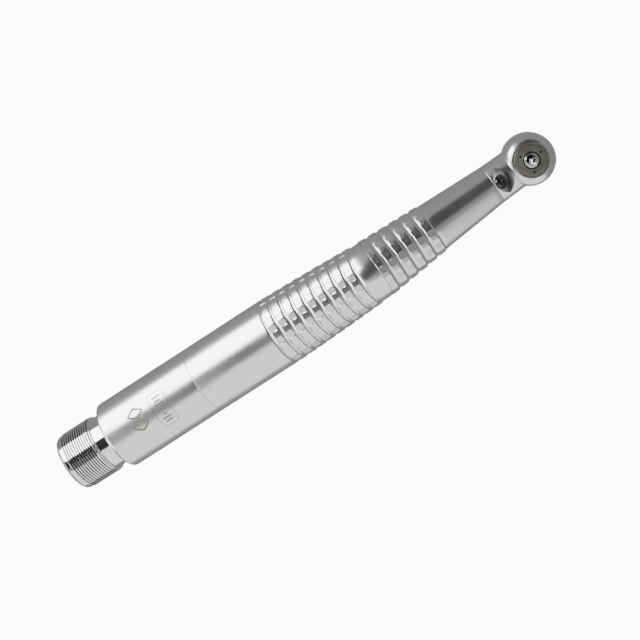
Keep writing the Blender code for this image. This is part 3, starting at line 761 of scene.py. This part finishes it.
def push_button():
    """The button, dished and grooved so that a thumb finds it."""
    base = BUTTON_BASE
    outline = [(base + 0.3, 0.0), (base + 0.26, 0.5), (base + 0.16, 1.0), (base + 0.04, 1.4), (base, 1.6)]
    for groove in (1.75, 2.05, 2.35):
        outline += [(base + 0.01, groove), (base + 0.08, groove + 0.04), (base + 0.08, groove + 0.1),
                    (base + 0.01, groove + 0.14)]
    outline += [(base + 0.06, 2.6), (base + 0.2, 2.82), (base + 0.5, 2.93), (-7.37, 2.94), (-7.37, 3.54),
                (-7.0, 3.54), (-7.0, 0.9), (BUTTON_TOP, 0.9), (BUTTON_TOP, 0.0)]
    made = turned("push_button_fine", outline, HEAD_FRAME, "Z", closed=False)
    dress(made, SATIN, "satin_chrome", "button", "push_button")


def spindle():
    """The hollow spindle, with a polished cone down to the chuck in its front end."""
    top = SPINDLE_TOP
    made = turned("spindle_fine", rounded([
        (SPINDLE_BASE, 1.22, 0.03), (SPINDLE_BASE, SPINDLE_RADIUS, 0.08), (top, SPINDLE_RADIUS, 0.15),
        (top, 1.24, 0.12), (top - 0.6, PIN_RADIUS + 0.05, 0.03), (3.4, PIN_RADIUS + 0.05, 0.0), (3.4, 1.22, 0.0),
    ]), HEAD_FRAME, "Z", steps=128)
    dress(made, GROUND, "bearing_steel", "turbine_rotor", "spindle")


def blank_pin():
    """A plain pin with a rounded tip, held where a bur goes."""
    outline = [(PIN_BASE, 0.0), (PIN_BASE, PIN_RADIUS - 0.1), (PIN_BASE + 0.1, PIN_RADIUS)]
    for angle in np.linspace(0.0, math.pi / 2, 20):
        outline.append((PIN_TIP - 0.45 * (1.0 - math.sin(angle)), PIN_RADIUS * math.cos(angle)))
    made = turned("blank_pin_fine", outline, HEAD_FRAME, "Z", steps=96, closed=False)
    dress(made, PIN_STEEL, "polished_chrome", "pin", "blank_pin")


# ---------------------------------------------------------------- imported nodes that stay

def carried_over():
    """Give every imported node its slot's material."""
    slots = {part["node"]: part["material_slot"] for part in frame["record"]["subparts"]}
    for name, node in frame["nodes"].items():
        for holder in node.material_slots:
            holder.material = SLOT_MATERIALS[slots[name]]


# ---------------------------------------------------------------- studio

CAMERA_LENS = 211.0
SENSOR_WIDTH = 36.0
CAMERA_DISTANCE = 765.0
CAMERA_AIM = Vector((63.69, -1.95, 4.59))
CAMERA_TURN = Euler([math.radians(angle) for angle in (-17.19, 8.836, -35.473)])
FLOOR_DROP = 160.0          # the floor's depth below the handle's axis
FLOOR_GLOW = 10.0


def camera():
    """A long lens, high over the bur's side and a little ahead."""
    data = bpy.data.cameras.new("camera")
    data.lens = CAMERA_LENS
    data.sensor_width = SENSOR_WIDTH
    data.clip_end = 20.0
    made = bpy.data.objects.new("camera", data)
    bpy.context.scene.collection.objects.link(made)
    turn = CAMERA_TURN.to_matrix().to_4x4()
    made.matrix_world = Matrix.Translation(CAMERA_AIM * MM) @ turn @ Matrix.Translation((0, 0, CAMERA_DISTANCE * MM))
    bpy.context.scene.camera = made
    return made


def studio_place(view, direction, distance, roll=0.0):
    """Facing the bend from a direction given along the handle, across it and towards the camera."""
    towards = (view.matrix_world.to_3x3() @ Vector((0, 0, 1))).normalized()
    along = (Vector((1, 0, 0)) - towards * towards.x).normalized()
    outward = Matrix((along, towards.cross(along), towards)).transposed() @ Vector(direction).normalized()
    right = (along - outward * outward.dot(along)).normalized()
    axes = Matrix((right, outward.cross(right), outward)).transposed().to_4x4()
    place = Matrix.Translation((BEND_POINT + outward * distance) * MM)
    return place @ axes @ Matrix.Rotation(math.radians(roll), 4, "Z")


def softbox(name, placed, size, brightness):
    """A soft rectangular light of an even brightness."""
    data = bpy.data.lights.new(name, "AREA")
    data.shape = "RECTANGLE"
    data.size, data.size_y = size[0] * MM, size[1] * MM
    data.energy = brightness * 4.0 * data.size * data.size_y
    made = bpy.data.objects.new(name, data)
    bpy.context.scene.collection.objects.link(made)
    made.matrix_world = placed


def card(name, placed, size, colour):
    """A matt card."""
    bm = bmesh.new()
    bmesh.ops.create_grid(bm, x_segments=1, y_segments=1, size=0.5)
    mesh = bpy.data.meshes.new(name)
    bm.to_mesh(mesh)
    bm.free()
    made = bpy.data.objects.new(name, mesh)
    bpy.context.scene.collection.objects.link(made)
    made.matrix_world = placed @ Matrix.Diagonal((size[0] * MM, size[1] * MM, 1.0, 1.0))
    made.data.materials.append(new_material(name, colour, 0.0, 0.9)[0])
    return made


def surroundings():
    """A dim even world, which the camera sees as pale as the floor."""
    world = bpy.data.worlds.new("studio")
    world.use_nodes = True
    nodes, links = world.node_tree.nodes, world.node_tree.links
    dim = nodes["Background"]
    dim.inputs["Color"].default_value = (0.98, 0.99, 1.0, 1)
    dim.inputs["Strength"].default_value = 0.3
    seen = nodes.new("ShaderNodeBackground")
    seen.inputs["Color"].default_value = (1, 1, 1, 1)
    seen.inputs["Strength"].default_value = FLOOR_GLOW
    path, mix = nodes.new("ShaderNodeLightPath"), nodes.new("ShaderNodeMixShader")
    links.new(path.outputs["Is Camera Ray"], mix.inputs["Fac"])
    links.new(dim.outputs["Background"], mix.inputs[1])
    links.new(seen.outputs["Background"], mix.inputs[2])
    links.new(mix.outputs["Shader"], nodes["World Output"].inputs["Surface"])
    bpy.context.scene.world = world


def studio(view):
    """Bright boxes above and behind, a dim one below, a dark card facing the handle and a white floor."""
    surroundings()
    softbox("key", studio_place(view, (-0.55, 0.71, 0.44), 620.0), (340.0, 560.0), 8.0)
    softbox("rear", studio_place(view, (-0.96, 0.02, 0.28), 620.0), (300.0, 600.0), 5.0)
    softbox("fill", studio_place(view, (-0.28, -0.84, 0.22), 700.0), (900.0, 1400.0), 1.0)
    dark = card("black_card", studio_place(view, (0.0, 0.26, 0.96), 1000.0, 20.0),
                (1900.0, 1000.0), (0.08, 0.08, 0.08))
    dark.visible_camera = False
    floor = card("pale_floor", Matrix.Translation((0, 0, -FLOOR_DROP * MM)), (12000.0, 12000.0), (0.92, 0.92, 0.92))
    glow = floor.data.materials[0].node_tree.nodes["Principled BSDF"].inputs
    glow["Emission Color"].default_value = (1, 1, 1, 1)
    glow["Emission Strength"].default_value = FLOOR_GLOW
    floor.visible_glossy = False
    floor.visible_diffuse = False


def main():
    carried_over()
    hose_connector()
    connector_insert()
    rear_sleeve()
    marks()
    grip_sleeve()
    front_sleeve()
    head_shell()
    face_insert()
    head_cap()
    push_button()
    spindle()
    blank_pin()
    view = camera()
    studio(view)


main()
